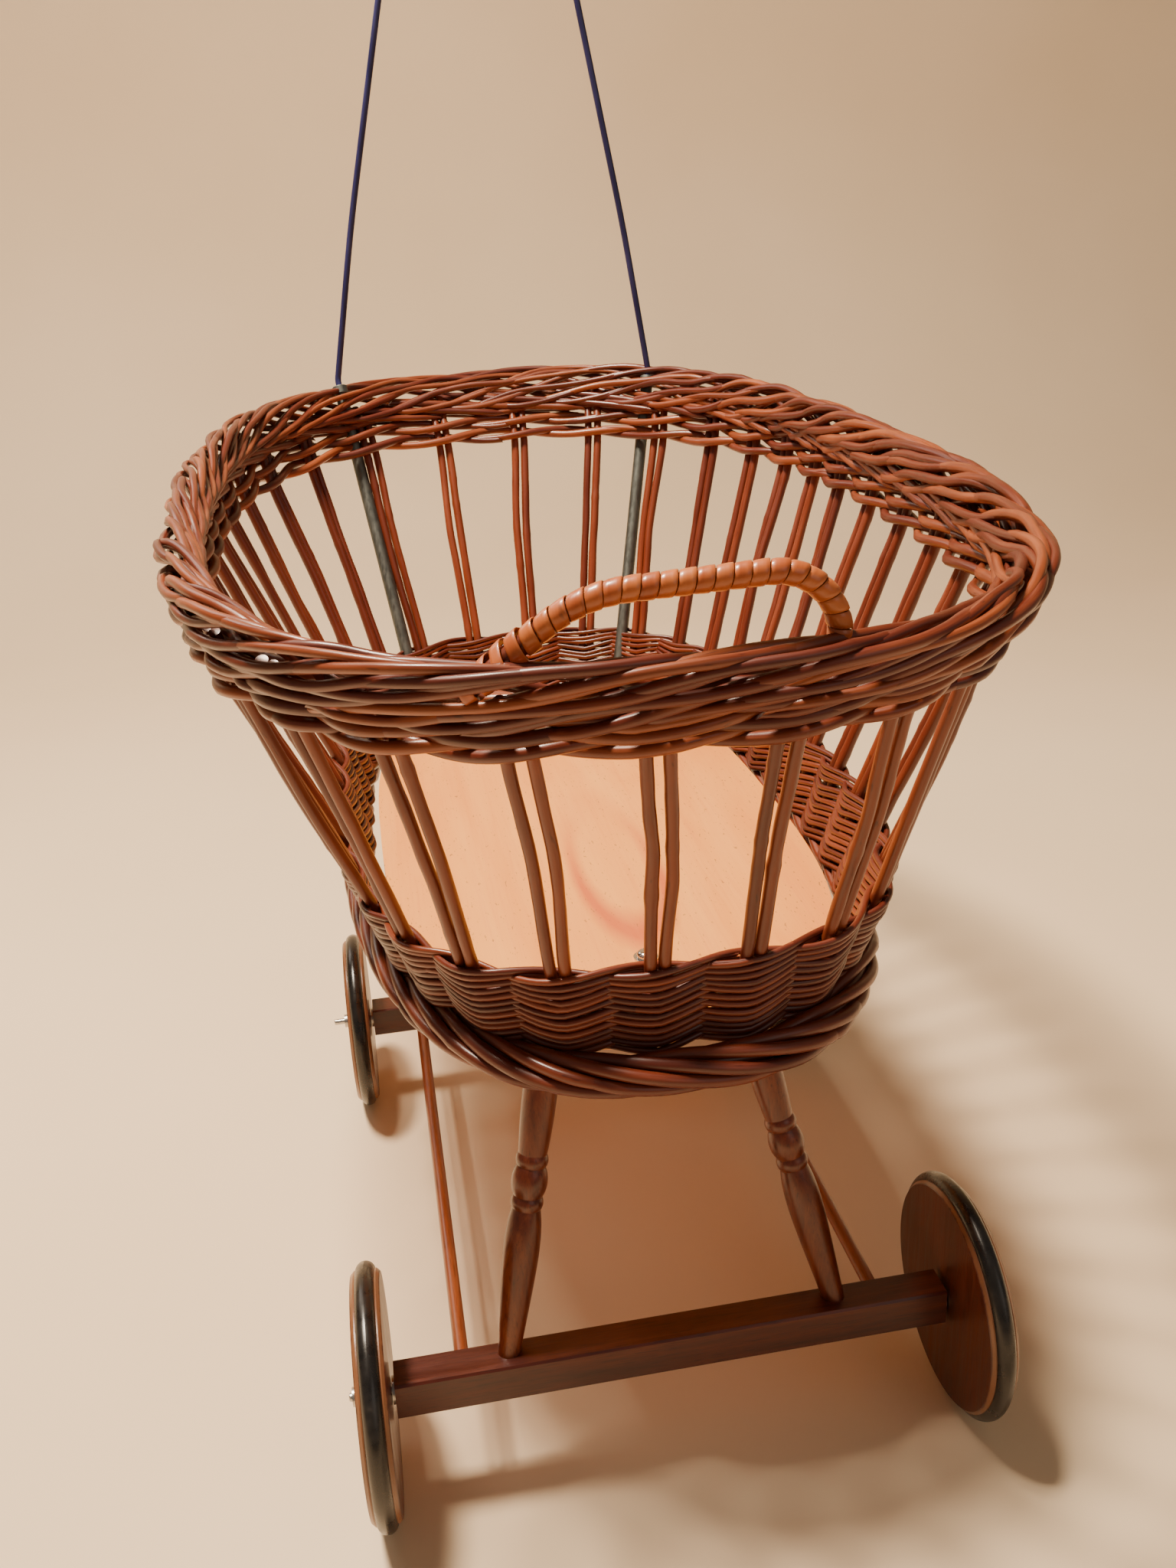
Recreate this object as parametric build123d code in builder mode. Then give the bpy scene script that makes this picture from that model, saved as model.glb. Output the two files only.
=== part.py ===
from build123d import *
from math import cos, hypot, pi, sin
import os

# Wicker doll stroller: a woven basket on a board, four turned legs, two axle beams with side rails,
# four rubber-tyred wooden wheels, a wrapped push handle and a bent rod that carries a canopy.
# Frame: +X to the right, +Y towards the canopy end, +Z up.  Z = 0 is the floor, and X = Y = 0 is
# the middle of the basket's rim.  The push handle is at the -Y end, which is called the near end.

# ---- Driving dimensions, in millimetres ----
wheel_radius = 60.0
wheel_thickness = 14.0
wheel_middle = 145.6            # x of a wheel's middle plane
axle_height = wheel_radius
near_axle_y = -257.0
far_axle_y = 87.6
wheelbase_middle = (near_axle_y + far_axle_y) / 2

tyre_section_radius = 4.75
tyre_ring_radius = wheel_radius - tyre_section_radius
disc_radius = 56.0
disc_bevel = 1.6

axle_radius = 2.0
axle_running_gap = 0.05
axle_end = 158.6                # x of an ordinary axle end
long_axle_end = 164.2           # the far axle stands out further on the left

beam_height = 20.0
beam_depth = 18.0
beam_half_length = 136.8
beam_top = axle_height + beam_height / 2
beam_chamfer = 1.0

rail_radius = 3.5
rail_x = 104.0
rail_z = 64.5
rail_socket_depth = 6.0

leg_foot = (81.2, -254.6)       # x and y of a near leg's axis where it meets the beam
leg_head = (46.7, -213.8)       # and where it meets the leg plate
tenon_radius = 4.0
foot_tenon_depth = 6.0
head_tenon_depth = 7.0
glue_gap = 0.05
leg_overrun = 4.0               # a leg is turned this much too long at each end, then cut level
leg_foot_radius = 5.4
leg_top_radius = 7.8
leg_groove_radius = 6.9
# Height along the leg of each turned groove, then of the lower bead's, ball's and upper bead's middle.
leg_grooves = [71.2, 77.4, 92.2, 98.4]
leg_swells = [(7.85, 74.3), (8.7, 84.8), (7.85, 95.3)]
leg_below = [(6.5, 14), (8.2, 38), (8.7, 54), (8.0, 65)]    # radius and height up to the first groove
leg_above = [(7.6, 107), (8.2, 119), (8.3, 135)]            # and beyond the last one

board_top = 241.0
board_thickness = 7.0
board_half_length = 255.0
board_half_width = 119.5
board_exponent = 2.75
board_bottom = board_top - board_thickness

plate_thickness = 9.0
plate_length = 140.0
plate_width = 50.0
plate_corner = 8.0
plate_centre_y = -205.0
plate_bottom = board_bottom - plate_thickness

bolt_radius = 2.5
bolt_place = (4.0, -198.0)      # one bolt, through the near leg plate only
bolt_head_radius = 4.5
bolt_head_height = 3.0
bolt_head_round = 2.4
bolt_overrun = 2.0              # length of bolt that shows under its nut
washer_radius = 6.0
washer_thickness = 1.2
nut_across_flats = 8.0
nut_height = 4.0
screw_radius = 1.75
screw_head_radius = 3.5
screw_length = 14.0
screw_pilot_spare = 0.5         # the pilot hole is this much deeper than the screw
screw_x = 58.0
screw_y = -192.0
hole_play = 0.2

basket_foot = (3.0, -8.0)       # middle of the lower band and board, a little right and near of the rim's
cane_radius = 3.1               # one upright cane
cane_gap = 0.6                  # between the two canes of a pair
pair_count = 34                 # pairs of upright canes
pair_phase = 0.25               # fraction of one pitch between the +X axis and the first pair
# The pairs stand further apart round the far end: the pair that stays put, and the most that any moves.
far_spread = {"lower": (8, 8.0), "rim": (9, 24.0)}
far_spread_reach = 8            # how many pairs each side of that one are moved
cane_foot_levels = (232, 277)   # heights of a cane's low end and of its first bend
cane_rim_levels = (-38, -12)    # levels of its second bend and its top end, in the rim's plane
cane_bend_radius = 20.0
wall = 14.0                     # thickness of the woven wall: a cane with a weaver on each side

# Lower band: height, half length and half width of the rolled edge under it, then its woven rows.
foot_border_levels = [(227, 282.0, 139.5), (231, 287.3, 144.0), (237, 286.5, 143.5), (245, 277.0, 139.0)]
foot_border_exponent = 2.5
foot_border_inside = (256.0, 120.5)
lower_band_bottom = 245.0
lower_band_top = 281.0
wale_height = 9.0               # the thicker row that finishes the lower band
proud_row = 1.0                 # a thick row stands out from the wall by this much

rim_height = 447.5              # outer top edge of the rim above X = Y = 0
rim_rise = 2.86                 # degrees: the rim climbs towards the canopy end
rim_exponent = 2.64

tube_radius = 4.5
tube_bore = 2.55
tube_foot = {"left": (-78.7, 226.0, 246.0), "right": (76.0, 232.0, 246.0)}
tube_mouth = {"left": (-112.4, 319.0, 470.8), "right": (124.0, 309.0, 464.3)}
ferrule_radius = 5.6
ferrule_height = 6.0
ferrule_fit = 0.02              # between the ferrule and its tube
ferrule_round = 0.5

hoop_radius = 2.3
hoop_waist = {"left": (-91.8, 323.0, 581.0), "right": (109.6, 314.6, 575.0)}    # a leg leans in more here
hoop_crown = {"left": (-23.0, 323.0, 865.0), "right": (57.0, 320.0, 865.0)}     # corners, before rounding
hoop_crown_radius = 34.0
hoop_radii = [12, 1200, hoop_crown_radius, hoop_crown_radius, 1200, 12]
hoop_seat = 0.35                # part of the tube's length that the rod reaches down
hoop_lead = 0.02                # part of the tube's length that it runs straight past the mouth

handle_core_radius = 3.3
handle_radius = 4.3
handle_wrap_fit = 0.02          # between the core and its wrapping
handle_y = -343.0
handle_left_foot = (-83.0, -333.0, 424.0)
handle_left_shoulder = (-42.0, 457.5)
handle_right_shoulder = (46.0, 460.5)
handle_right_foot = (45.0, -341.0, 421.0)
handle_bends = [45, 24]

rod_end_chamfer = 0.5
wheel_washer_radius = 6.5
wheel_washer_thickness = 1.3
washer_to_disc = 0.4            # end play between each washer and its wheel
axle_cap_radius = 4.5
axle_cap_length = 2.6
cap_to_washer = 0.1

# The rim of the basket lies in a tilted plane; level 0 is its outer top edge.
rim_plane = Plane.XY.offset(rim_height).rotated((rim_rise, 0, 0))


def oval_points(half_length, half_width, exponent, count):
    """Points round a squarish oval, evenly spaced in angle and starting on the +X axis."""
    points = []
    for step in range(count):
        angle = 2 * pi * step / count
        across = abs(cos(angle) / half_width) ** exponent
        along = abs(sin(angle) / half_length) ** exponent
        reach = (across + along) ** (-1 / exponent)
        points.append((reach * cos(angle), reach * sin(angle)))
    return points


def oval_at(fraction, half_length, half_width, exponent, shift=0.0):
    """The point a given fraction of the way round an oval, moved on by shift millimetres."""
    fine = oval_points(half_length, half_width, exponent, 720)
    fine.append(fine[0])
    spans = [hypot(b[0] - a[0], b[1] - a[1]) for a, b in zip(fine, fine[1:])]
    target = (fraction * sum(spans) + shift) % sum(spans)
    for a, b, span in zip(fine, fine[1:], spans):
        if target <= span:
            part = target / span
            return (a[0] + part * (b[0] - a[0]), a[1] + part * (b[1] - a[1]))
        target -= span
    return fine[0]


def spread_shift(pair, row):
    """How far a pair is moved round the lower band or the rim, in millimetres."""
    still_pair, most = far_spread[row]
    away = pair - still_pair
    if abs(away) >= far_spread_reach:
        return 0.0
    return most * sin(pi * away / far_spread_reach)


def oval_face(plane, half_length, half_width, exponent):
    """A flat face with an oval outline, on a plane that the oval is centred on."""
    with BuildSketch(plane) as oval:
        with BuildLine():
            Spline(*oval_points(half_length, half_width, exponent, 36), periodic=True)
        make_face()
    return oval.sketch


def foot_plane(height):
    """A level plane, centred on the basket's lower band."""
    return Plane((*basket_foot, height))


def lower_wall(height, inset=0.0):
    """Half length, half width and exponent of the lower band's outside at a height."""
    part = (height - lower_band_bottom) / (lower_band_top - lower_band_bottom)
    return (270.5 + 6.3 * part - inset, 136.5 + 9.9 * part - inset, 2.74 + 0.3 * part)


def rim_wall(level, inset=0.0):
    """The same for the rim, at a level measured from its outer top edge along the tilted axis."""
    part = (level + 40) / 40
    return (322.6 + 35.4 * part - inset, 200.9 + 6.1 * part - inset, rim_exponent)


def rim_ring(low, high, proud):
    """Outer and inner faces of one woven row of the rim, standing proud by an amount each side."""
    levels = (low, high)
    outer = [oval_face(rim_plane.offset(level), *rim_wall(level, -proud)) for level in levels]
    inner = [oval_face(rim_plane.offset(level), *rim_wall(level, wall + proud)) for level in levels]
    return outer, inner


def lower_ring(low, high, proud):
    """The same for one woven row of the lower band."""
    levels = (low, high)
    outer = [oval_face(foot_plane(level), *lower_wall(level, -proud)) for level in levels]
    inner = [oval_face(foot_plane(level), *lower_wall(level, wall + proud)) for level in levels]
    return outer, inner


def finish(name, part):
    """Label one finished piece and write its file."""
    part.label = name
    export_step(part, f"parts/{name}.step")


def far_of(y):
    """The y at the far end that answers to a y at the near end."""
    return 2 * wheelbase_middle - y


def to_corner(side, is_near, point):
    """Carry an (x, y) point from the near right corner to one of the four corners."""
    x, y = point
    return (side * x, y if is_near else far_of(y))


os.makedirs("parts", exist_ok=True)

# The four corners: name, side (-1 left, 1 right) and whether it is at the near end.
corners = [
    ("near_left", -1, True),
    ("near_right", 1, True),
    ("far_left", -1, False),
    ("far_right", 1, False),
]
ends = [("near", True, near_axle_y), ("far", False, far_axle_y)]

# ---- Axle beams: square battens with a bore for the axle, sockets for the rails and leg tenons ----
leg_axes = {}
for corner, side, is_near in corners:
    foot = Vector(*to_corner(side, is_near, leg_foot), beam_top)
    head = Vector(*to_corner(side, is_near, leg_head), plate_bottom)
    leg_axes[corner] = Plane(foot, z_dir=head - foot)
leg_length = (head - foot).length
leg_stop = leg_length + leg_overrun

for end, is_near, axle_y in ends:
    inward = 1 if is_near else -1
    with BuildPart() as axle_beam:
        with BuildSketch(Plane.YZ.offset(-beam_half_length)) as beam_section:
            with Locations((axle_y, axle_height)):
                Rectangle(beam_depth, beam_height)
        extrude(amount=2 * beam_half_length)
        chamfer(axle_beam.edges().filter_by(Axis.X), beam_chamfer)
        with BuildSketch(Plane.YZ.offset(-beam_half_length)) as axle_bore:
            with Locations((axle_y, axle_height)):
                Circle(axle_radius + axle_running_gap)
        extrude(amount=2 * beam_half_length, mode=Mode.SUBTRACT)
        rail_face = Plane((0, axle_y + inward * beam_depth / 2, 0), x_dir=(1, 0, 0), z_dir=(0, -inward, 0))
        with BuildSketch(rail_face) as rail_sockets:
            with Locations((-rail_x, inward * rail_z), (rail_x, inward * rail_z)):
                Circle(rail_radius + glue_gap)
        extrude(amount=rail_socket_depth + glue_gap, mode=Mode.SUBTRACT)
        for corner in (f"{end}_left", f"{end}_right"):
            with BuildSketch(leg_axes[corner].offset(-foot_tenon_depth)) as foot_socket:
                Circle(tenon_radius + glue_gap)
            extrude(amount=2 * foot_tenon_depth, mode=Mode.SUBTRACT)
    finish(f"{end}_axle_beam", axle_beam.part)

# ---- Side rails: thin dowels glued into both beams ----
rail_start = near_axle_y + beam_depth / 2 - rail_socket_depth
rail_stop = far_axle_y - beam_depth / 2 + rail_socket_depth
for side_name, side in (("left", -1), ("right", 1)):
    with BuildPart() as side_rail:
        with BuildSketch(Plane((side * rail_x, rail_start, rail_z), x_dir=(1, 0, 0), z_dir=(0, 1, 0))):
            Circle(rail_radius)
        extrude(amount=rail_stop - rail_start)
    finish(f"{side_name}_side_rail", side_rail.part)

# ---- Legs: turned posts with a ball between two beads, splayed both ways ----
groove = leg_groove_radius
for corner, side, is_near in corners:
    axis_plane = leg_axes[corner]
    turning_plane = Plane(
        axis_plane.origin, x_dir=axis_plane.x_dir, z_dir=axis_plane.x_dir.cross(axis_plane.z_dir)
    )
    with BuildPart() as leg:
        with BuildSketch(turning_plane) as half_section:
            with BuildLine():
                Line((0, -leg_overrun), (leg_foot_radius, -leg_overrun))
                Spline((leg_foot_radius, -leg_overrun), *leg_below, (groove, leg_grooves[0]))
                for low, high, swell in zip(leg_grooves, leg_grooves[1:], leg_swells):
                    ThreePointArc((groove, low), swell, (groove, high))
                Spline((groove, leg_grooves[-1]), *leg_above, (leg_top_radius, leg_stop))
                Line((leg_top_radius, leg_stop), (0, leg_stop))
                Line((0, leg_stop), (0, -leg_overrun))
            make_face()
        revolve(axis=Axis(axis_plane.origin, axis_plane.z_dir))
        split(bisect_by=Plane.XY.offset(beam_top), keep=Keep.TOP)
        split(bisect_by=Plane.XY.offset(plate_bottom), keep=Keep.BOTTOM)
        with BuildSketch(axis_plane.offset(-foot_tenon_depth)) as tenons:
            Circle(tenon_radius)
        extrude(amount=leg_length + foot_tenon_depth + head_tenon_depth)
    finish(f"{corner}_leg", leg.part)

# ---- Leg plates: plywood pads under the board that take the leg tenons ----
for end, is_near, axle_y in ends:
    plate_y = plate_centre_y if is_near else far_of(plate_centre_y)
    end_screw_y = screw_y if is_near else far_of(screw_y)
    with BuildPart() as leg_plate:
        with BuildSketch(Plane((0, plate_y, plate_bottom))) as plate_outline:
            RectangleRounded(plate_length, plate_width, plate_corner)
        extrude(amount=plate_thickness)
        if is_near:
            with BuildSketch(Plane.XY.offset(plate_bottom)) as bolt_hole:
                with Locations(bolt_place):
                    Circle(bolt_radius + hole_play)
            extrude(amount=plate_thickness, mode=Mode.SUBTRACT)
        with Locations(Plane((0, end_screw_y, plate_bottom), x_dir=(1, 0, 0), z_dir=(0, 0, -1))):
            with Locations((-screw_x, 0), (screw_x, 0)):
                CounterSinkHole(screw_radius + glue_gap, screw_head_radius + glue_gap, plate_thickness)
        for corner in (f"{end}_left", f"{end}_right"):
            with BuildSketch(leg_axes[corner].offset(leg_length - head_tenon_depth)) as head_socket:
                Circle(tenon_radius + glue_gap)
            extrude(amount=2 * head_tenon_depth + glue_gap, mode=Mode.SUBTRACT)
    finish(f"{end}_leg_plate", leg_plate.part)

# ---- Floor board: a squarish oval of plywood that the basket is woven round ----
screw_places = [(side * screw_x, y) for side in (-1, 1) for y in (screw_y, far_of(screw_y))]
with BuildPart() as floor_board:
    extrude(
        oval_face(foot_plane(board_bottom), board_half_length, board_half_width, board_exponent),
        amount=board_thickness,
    )
    with BuildSketch(Plane.XY.offset(board_bottom)) as board_hole:
        with Locations(bolt_place):
            Circle(bolt_radius + hole_play)
    extrude(amount=board_thickness, mode=Mode.SUBTRACT)
    with BuildSketch(Plane.XY.offset(board_bottom)) as pilot_holes:
        with Locations(*screw_places):
            Circle(screw_radius)
    extrude(amount=screw_length - plate_thickness, mode=Mode.SUBTRACT)
finish("floor_board", floor_board.part)

# ---- Bolt through the board and near plate, with its washers and nut, and the plate screws ----
head_seat = board_top + washer_thickness
nut_seat = plate_bottom - washer_thickness
with BuildPart() as board_bolt:
    with BuildSketch(Plane.XY.offset(nut_seat - nut_height - bolt_overrun)) as bolt_shank:
        with Locations(bolt_place):
            Circle(bolt_radius)
    extrude(amount=head_seat - nut_seat + nut_height + bolt_overrun)
    with BuildSketch(Plane.XY.offset(head_seat)) as bolt_head:
        with Locations(bolt_place):
            Circle(bolt_head_radius)
    extrude(amount=bolt_head_height)
    fillet(board_bolt.edges().group_by(Axis.Z)[-1], bolt_head_round)
finish("board_bolt", board_bolt.part)

with BuildPart() as board_washers:
    for seat in (board_top, nut_seat):
        with BuildSketch(Plane.XY.offset(seat)) as washer_outline:
            with Locations(bolt_place):
                Circle(washer_radius)
                Circle(bolt_radius + hole_play, mode=Mode.SUBTRACT)
        extrude(amount=washer_thickness)
finish("board_washers", board_washers.part)

with BuildPart() as board_nut:
    with BuildSketch(Plane.XY.offset(nut_seat - nut_height)) as nut_outline:
        with Locations(bolt_place):
            RegularPolygon(nut_across_flats / 2, 6, major_radius=False)
            Circle(bolt_radius, mode=Mode.SUBTRACT)
    extrude(amount=nut_height)
finish("board_nut", board_nut.part)

with BuildPart() as plate_screws:
    with BuildSketch(Plane.XY.offset(plate_bottom)) as screw_shanks:
        with Locations(*screw_places):
            Circle(screw_radius)
    extrude(amount=screw_length - screw_pilot_spare)
    for place in screw_places:
        with Locations((*place, plate_bottom + (screw_head_radius - screw_radius) / 2)):
            Cone(screw_head_radius, screw_radius, screw_head_radius - screw_radius)
finish("plate_screws", plate_screws.part)

# ---- Foot border: a thick rolled edge under the lower band ----
with BuildPart() as foot_border:
    outside = []
    for level, half_length, half_width in foot_border_levels:
        outside.append(oval_face(foot_plane(level), half_length, half_width, foot_border_exponent))
    loft(outside, ruled=True)
    inside = []
    for level in (foot_border_levels[0][0], foot_border_levels[-1][0]):
        inside.append(oval_face(foot_plane(level), *foot_border_inside, board_exponent))
    loft(inside, mode=Mode.SUBTRACT)
finish("foot_border", foot_border.part)

# ---- Lower band: fine weave, then a thicker wale on top ----
wale_bottom = lower_band_top - wale_height
lower_rows = [
    ("lower_weave", lower_band_bottom, wale_bottom, 0.0),
    ("lower_top_wale", wale_bottom, lower_band_top, proud_row),
]
for name, low, high, proud in lower_rows:
    outer, inner = lower_ring(low, high, proud)
    with BuildPart() as lower_row:
        loft(outer)
        loft(inner, mode=Mode.SUBTRACT)
    finish(name, lower_row.part)

# ---- Rim: two twined rows, an open waled band and a thick border of laid canes ----
rim_rows = [
    ("rim_wale_lower", -40, -31.5, 0.0),
    ("rim_wale_upper", -31.5, -23, 0.0),
    ("rim_weave", -23, -9, 0.0),
    ("rim_border", -9, 3, proud_row),
]
for name, low, high, proud in rim_rows:
    outer, inner = rim_ring(low, high, proud)
    with BuildPart() as rim_row:
        loft(outer)
        loft(inner, mode=Mode.SUBTRACT)
    finish(name, rim_row.part)

# ---- Uprights: pairs of canes from the foot border up into the rim ----
quarters = {"right": [], "far": [], "left": [], "near": []}
for pair in range(pair_count):
    fraction = (pair + pair_phase) / pair_count
    quarter = list(quarters)[int((fraction * 4 + 0.5) % 4)]
    for beside in (-1, 1):
        aside = beside * (cane_radius + cane_gap / 2)
        path = []
        for level in cane_foot_levels:
            length, width, exponent = lower_wall(level, wall / 2)
            x, y = oval_at(fraction, length, width, exponent, aside + spread_shift(pair, "lower"))
            path.append(foot_plane(level).from_local_coords(Vector(x, y, 0)))
        for level in cane_rim_levels:
            length, width, exponent = rim_wall(level, wall / 2)
            x, y = oval_at(fraction, length, width, exponent, aside + spread_shift(pair, "rim"))
            path.append(rim_plane.offset(level).from_local_coords(Vector(x, y, 0)))
        quarters[quarter].append(path)

for quarter, paths in quarters.items():
    with BuildPart() as upright_canes:
        for path in paths:
            with BuildLine() as cane_line:
                FilletPolyline(*path, radius=cane_bend_radius)
            with BuildSketch(Plane(path[0], z_dir=path[1] - path[0])) as cane_section:
                Circle(cane_radius)
            sweep(path=cane_line.line)
    finish(f"{quarter}_canes", upright_canes.part)

# ---- Canopy sockets: thin metal tubes among the far canes, each with a ferrule at its mouth ----
for side_name in ("left", "right"):
    foot = Vector(*tube_foot[side_name])
    mouth = Vector(*tube_mouth[side_name])
    tube_plane = Plane(foot, z_dir=mouth - foot)
    tube_length = (mouth - foot).length
    with BuildPart() as socket_tube:
        with BuildSketch(tube_plane) as tube_section:
            Circle(tube_radius)
            Circle(tube_bore, mode=Mode.SUBTRACT)
        extrude(amount=tube_length)
    finish(f"{side_name}_socket_tube", socket_tube.part)
    with BuildPart() as tube_ferrule:
        with BuildSketch(tube_plane.offset(tube_length - ferrule_height)) as ferrule_section:
            Circle(ferrule_radius)
            Circle(tube_radius + ferrule_fit, mode=Mode.SUBTRACT)
        extrude(amount=ferrule_height)
        fillet(tube_ferrule.edges().filter_by(GeomType.CIRCLE).sort_by(SortBy.RADIUS)[-2:], ferrule_round)
    finish(f"{side_name}_tube_ferrule", tube_ferrule.part)

# ---- Canopy rod: one springy rod from tube to tube, with a rounded crown ----
left_mouth = Vector(*tube_mouth["left"])
right_mouth = Vector(*tube_mouth["right"])
left_foot = Vector(*tube_foot["left"])
right_foot = Vector(*tube_foot["right"])
hoop_points = [
    left_mouth + (left_foot - left_mouth) * hoop_seat,
    left_mouth + (left_mouth - left_foot) * hoop_lead,
    Vector(*hoop_waist["left"]),
    Vector(*hoop_crown["left"]),
    Vector(*hoop_crown["right"]),
    Vector(*hoop_waist["right"]),
    right_mouth + (right_mouth - right_foot) * hoop_lead,
    right_mouth + (right_foot - right_mouth) * hoop_seat,
]
with BuildPart() as canopy_hoop:
    with BuildLine() as hoop_line:
        FilletPolyline(*hoop_points, radius=hoop_radii)
    with BuildSketch(Plane(hoop_points[0], z_dir=hoop_points[1] - hoop_points[0])) as hoop_section:
        Circle(hoop_radius)
    sweep(path=hoop_line.line)
finish("canopy_hoop", canopy_hoop.part)

# ---- Push handle: a bent cane core in a close wrapping of split cane ----
left_x, left_z = handle_left_shoulder
right_x, right_z = handle_right_shoulder
handle_points = [
    Vector(*handle_left_foot),
    Vector(left_x, handle_y, left_z),
    Vector(right_x, handle_y, right_z),
    Vector(*handle_right_foot),
]
with BuildPart() as push_handle_core:
    with BuildLine() as core_line:
        FilletPolyline(*handle_points, radius=handle_bends)
    with BuildSketch(Plane(handle_points[0], z_dir=handle_points[1] - handle_points[0])):
        Circle(handle_core_radius)
    sweep(path=core_line.line)
finish("push_handle_core", push_handle_core.part)

with BuildPart() as push_handle_wrap:
    with BuildLine() as wrap_line:
        FilletPolyline(*handle_points, radius=handle_bends)
    with BuildSketch(Plane(handle_points[0], z_dir=handle_points[1] - handle_points[0])):
        Circle(handle_radius)
        Circle(handle_core_radius + handle_wrap_fit, mode=Mode.SUBTRACT)
    sweep(path=wrap_line.line)
finish("push_handle_wrap", push_handle_wrap.part)

# ---- Axles: fixed steel rods through the beams ----
axle_ends = {"near": (-axle_end, axle_end), "far": (-long_axle_end, axle_end)}
for end, is_near, axle_y in ends:
    start, stop = axle_ends[end]
    with BuildPart() as axle_rod:
        with BuildSketch(Plane((start, axle_y, axle_height), x_dir=(0, 1, 0), z_dir=(1, 0, 0))):
            Circle(axle_radius)
        extrude(amount=stop - start)
        chamfer(axle_rod.edges().filter_by(GeomType.CIRCLE), rod_end_chamfer)
    finish(f"{end}_axle_rod", axle_rod.part)

# ---- Wheels: bevelled wooden discs with a grooved rim, each with a round rubber tyre ----
disc_inner_face = wheel_middle - wheel_thickness / 2
disc_outer_face = wheel_middle + wheel_thickness / 2
for corner, side, is_near in corners:
    axle_y = near_axle_y if is_near else far_axle_y
    wheel_plane = Plane((side * wheel_middle, axle_y, axle_height), x_dir=(0, 1, 0), z_dir=(1, 0, 0))
    turning_plane = Plane(wheel_plane.origin, x_dir=(0, 1, 0), z_dir=(0, 0, -1))
    spin_axis = Axis(wheel_plane.origin, wheel_plane.z_dir)
    with BuildPart() as wheel_disc:
        with BuildSketch(wheel_plane.offset(-wheel_thickness / 2)) as disc_outline:
            Circle(disc_radius)
            Circle(axle_radius + axle_running_gap, mode=Mode.SUBTRACT)
        extrude(amount=wheel_thickness)
        rim_edges = wheel_disc.edges().filter_by(GeomType.CIRCLE).sort_by(SortBy.RADIUS)[-2:]
        chamfer(rim_edges, disc_bevel)
        with BuildSketch(turning_plane) as groove_section:
            with Locations((tyre_ring_radius, 0)):
                Circle(tyre_section_radius)
        revolve(axis=spin_axis, mode=Mode.SUBTRACT)
    finish(f"{corner}_wheel_disc", wheel_disc.part)
    with BuildPart() as tyre:
        with BuildSketch(turning_plane) as tyre_section:
            with Locations((tyre_ring_radius, 0)):
                Circle(tyre_section_radius)
        revolve(axis=spin_axis)
    finish(f"{corner}_tyre", tyre.part)

# ---- Wheel washers and push-on axle caps, one set at each corner ----
washer_places = [
    ("inner_wheel_washers", disc_inner_face - washer_to_disc - wheel_washer_thickness),
    ("outer_wheel_washers", disc_outer_face + washer_to_disc),
]
for name, near_face in washer_places:
    with BuildPart() as wheel_washers:
        for corner, side, is_near in corners:
            axle_y = near_axle_y if is_near else far_axle_y
            middle = (side * near_face, axle_y, axle_height)
            with BuildSketch(Plane(middle, x_dir=(0, 1, 0), z_dir=(side, 0, 0))):
                Circle(wheel_washer_radius)
                Circle(axle_radius + axle_running_gap, mode=Mode.SUBTRACT)
            extrude(amount=wheel_washer_thickness)
    finish(name, wheel_washers.part)

cap_face = disc_outer_face + washer_to_disc + wheel_washer_thickness + cap_to_washer
with BuildPart() as axle_caps:
    for corner, side, is_near in corners:
        axle_y = near_axle_y if is_near else far_axle_y
        middle = (side * cap_face, axle_y, axle_height)
        with BuildSketch(Plane(middle, x_dir=(0, 1, 0), z_dir=(side, 0, 0))):
            Circle(axle_cap_radius)
            Circle(axle_radius, mode=Mode.SUBTRACT)
        extrude(amount=axle_cap_length)
finish("axle_caps", axle_caps.part)
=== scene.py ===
import math

import bpy
import numpy as np
from mathutils import Matrix, Vector


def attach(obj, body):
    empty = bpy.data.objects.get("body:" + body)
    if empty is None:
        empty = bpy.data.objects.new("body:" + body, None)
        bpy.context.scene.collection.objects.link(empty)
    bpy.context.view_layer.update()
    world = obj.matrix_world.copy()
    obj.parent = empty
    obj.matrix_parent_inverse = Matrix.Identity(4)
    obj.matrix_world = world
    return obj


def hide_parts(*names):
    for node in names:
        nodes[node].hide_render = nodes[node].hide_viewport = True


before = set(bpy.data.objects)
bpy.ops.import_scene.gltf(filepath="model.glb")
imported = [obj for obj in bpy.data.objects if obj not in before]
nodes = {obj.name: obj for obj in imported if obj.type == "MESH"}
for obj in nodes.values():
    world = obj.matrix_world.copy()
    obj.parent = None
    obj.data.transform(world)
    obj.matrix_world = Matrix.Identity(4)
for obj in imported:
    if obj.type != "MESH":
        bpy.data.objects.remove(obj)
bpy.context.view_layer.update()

MM = 0.001

# ---- Driving values, in millimetres, the same as the CAD model's ----
pair_count = 34
pair_phase = 0.25
# Perimeter of each row of pairs, the pair that stays put there and the most that any is moved round it.
rim_row, lower_row = (1660.0, 9, 24.0), (1394.0, 8, 8.0)
far_spread_reach = 8
rim_height, rim_rise = 447.5, math.radians(2.86)
basket_foot = (3.0, -8.0)
wall = 14.0
handle_points = [(-83, -333, 424), (-42, -343, 457.5), (46, -343, 460.5), (45, -341, 421)]
handle_bends = [45, 24]
axle_height = 60.0
near_axle_y, far_axle_y = -257.0, 87.6

# ---- Values of the woven looks alone, in millimetres ----
near_stake_radius, stake_radius = 2.75, 2.95
pair_gap, near_opening = 0.2, 1.2       # half the gap in a pair, and how much more at the near end's rim
# A knot swells a cane by a share of its radius; the spacing and reach are along the cane.
knot_spacing, knot_height, knot_reach = 150.0, 0.11, 2.6
chance = np.random.default_rng(7)


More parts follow.
